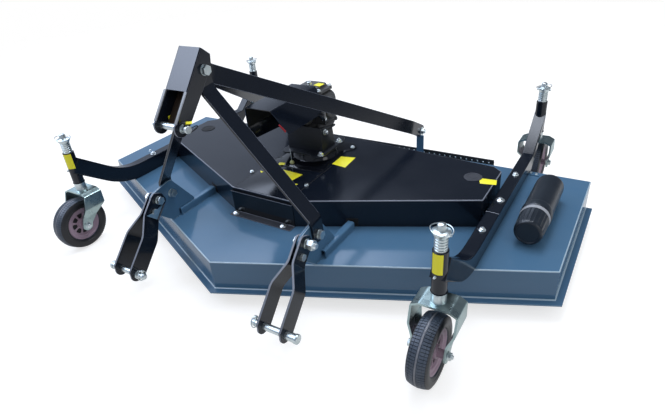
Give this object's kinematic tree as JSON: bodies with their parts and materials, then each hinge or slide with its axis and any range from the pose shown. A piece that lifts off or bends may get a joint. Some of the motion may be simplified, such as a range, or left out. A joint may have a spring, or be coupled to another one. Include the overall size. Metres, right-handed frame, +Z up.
{
  "type": "three-point hitch rotary finishing mower",
  "caption": "Rear-mounted finishing mower with a wide low deck, swept front, belt cover, gearbox, folding hitch arms and swivelling caster wheels.",
  "frame": {"origin": "on the ground, midway across and midway along the machine", "axes": "+X across the machine to its right-hand side as the canister side, -Y to the tractor, +Z up"},
  "size_m": [2.286, 1.6663, 0.9277],
  "materials": {
    "deck_paint": "satin",
    "black_paint": "satin",
    "black_gloss": "gloss",
    "black_casting": "painted cast surface",
    "bare_steel": "ground",
    "zinc": "bright zinc",
    "galvanised": "galvanised",
    "rubber": "matte",
    "tyre_rubber": "matte",
    "rim_plastic": "satin",
    "canister_plastic": "fine grain"
  },
  "bodies": {
    "mower": {"deck": "deck_paint", "deck_ribs": "deck_paint", "hitch_brackets": "deck_paint", "brace_posts": "deck_paint", "rear_flap": "rubber", "flap_clamp_bar": "black_paint", "belt_cover": "black_paint", "front_panel": "black_gloss", "pulley_guard": "black_paint", "gearbox_stand": "black_paint", "gearbox": "black_casting", "gearbox_lid": "black_casting", "pto_shield": "black_paint", "spindle_housings": "black_casting", "frame_leg_left": "black_paint", "frame_leg_right": "black_paint", "brace_left": "black_paint", "brace_right": "black_paint", "hitch_bolts": "zinc", "side_beam_left": "black_paint", "side_beam_right": "black_paint", "canister": "canister_plastic", "canister_saddles": "canister_plastic"},
    "swivel_front_left": {"caster_fork_front_left": "galvanised"},
    "wheel_front_left": {"caster_tyre_front_left": "tyre_rubber", "caster_rim_front_left": "rim_plastic"},
    "swivel_front_right": {"caster_fork_front_right": "galvanised"},
    "wheel_front_right": {"caster_tyre_front_right": "tyre_rubber", "caster_rim_front_right": "rim_plastic"},
    "swivel_rear_left": {"caster_fork_rear_left": "galvanised"},
    "wheel_rear_left": {"caster_tyre_rear_left": "tyre_rubber", "caster_rim_rear_left": "rim_plastic"},
    "swivel_rear_right": {"caster_fork_rear_right": "galvanised"},
    "wheel_rear_right": {"caster_tyre_rear_right": "tyre_rubber", "caster_rim_rear_right": "rim_plastic"},
    "hitch_arm_left": {"lower_arm_left": "black_paint", "lower_pin_left": "zinc"},
    "hitch_arm_right": {"lower_arm_right": "black_paint", "lower_pin_right": "zinc"},
    "top_link": {"top_link_bracket": "black_paint", "top_link_pin": "zinc"},
    "drive_shaft": {"pto_shaft": "bare_steel"},
    "rotor_left": {"blade_left": "bare_steel"},
    "rotor_centre": {"blade_centre": "bare_steel"},
    "rotor_right": {"blade_right": "bare_steel"}
  },
  "joints": [
    {"name": "swivel_front_left", "type": "hinge", "parent": "mower", "child": "swivel_front_left", "pos_m": [-0.843, -0.6155, 0.36], "axis": [0, 0, 1], "continuous": true},
    {"name": "roll_front_left", "type": "hinge", "parent": "swivel_front_left", "child": "wheel_front_left", "pos_m": [-0.843, -0.6755, 0.116], "axis": [1, 0, 0], "continuous": true},
    {"name": "swivel_front_right", "type": "hinge", "parent": "mower", "child": "swivel_front_right", "pos_m": [0.843, -0.6155, 0.36], "axis": [0, 0, 1], "continuous": true},
    {"name": "roll_front_right", "type": "hinge", "parent": "swivel_front_right", "child": "wheel_front_right", "pos_m": [0.843, -0.6755, 0.116], "axis": [1, 0, 0], "continuous": true},
    {"name": "swivel_rear_left", "type": "hinge", "parent": "mower", "child": "swivel_rear_left", "pos_m": [-0.843, 0.657, 0.36], "axis": [0, 0, 1], "continuous": true},
    {"name": "roll_rear_left", "type": "hinge", "parent": "swivel_rear_left", "child": "wheel_rear_left", "pos_m": [-0.843, 0.717, 0.116], "axis": [1, 0, 0], "continuous": true},
    {"name": "swivel_rear_right", "type": "hinge", "parent": "mower", "child": "swivel_rear_right", "pos_m": [0.843, 0.657, 0.36], "axis": [0, 0, 1], "continuous": true},
    {"name": "roll_rear_right", "type": "hinge", "parent": "swivel_rear_right", "child": "wheel_rear_right", "pos_m": [0.843, 0.717, 0.116], "axis": [1, 0, 0], "continuous": true},
    {"name": "lower_hitch_left", "type": "hinge", "parent": "mower", "child": "hitch_arm_left", "pos_m": [-0.358, -0.5956, 0.3074], "axis": [-1, 0, 0], "range_deg": [0, 55]},
    {"name": "lower_hitch_right", "type": "hinge", "parent": "mower", "child": "hitch_arm_right", "pos_m": [0.358, -0.5956, 0.3074], "axis": [-1, 0, 0], "range_deg": [0, 55]},
    {"name": "top_link_swing", "type": "hinge", "parent": "mower", "child": "top_link", "pos_m": [0, -0.5837, 0.8598], "axis": [-1, 0, 0], "range_deg": [0, 60]},
    {"name": "rotor_centre_spin", "type": "hinge", "parent": "mower", "child": "rotor_centre", "pos_m": [0, -0.26, 0.12], "axis": [0, 0, 1], "continuous": true},
    {"name": "rotor_left_spin", "type": "hinge", "parent": "mower", "child": "rotor_left", "pos_m": [-0.725, 0.081, 0.12], "axis": [0, 0, 1], "continuous": true},
    {"name": "rotor_right_spin", "type": "hinge", "parent": "mower", "child": "rotor_right", "pos_m": [0.725, 0.081, 0.12], "axis": [0, 0, 1], "continuous": true},
    {"name": "drive_shaft_spin", "type": "hinge", "parent": "mower", "child": "drive_shaft", "pos_m": [0, -0.09, 0.52], "axis": [0, -1, 0], "continuous": true}
  ],
  "couplings": [
    {"joint": "rotor_left_spin", "follows": "rotor_centre_spin", "ratio": 1},
    {"joint": "rotor_right_spin", "follows": "rotor_centre_spin", "ratio": 1},
    {"joint": "drive_shaft_spin", "follows": "rotor_centre_spin", "ratio": 0.2}
  ]
}
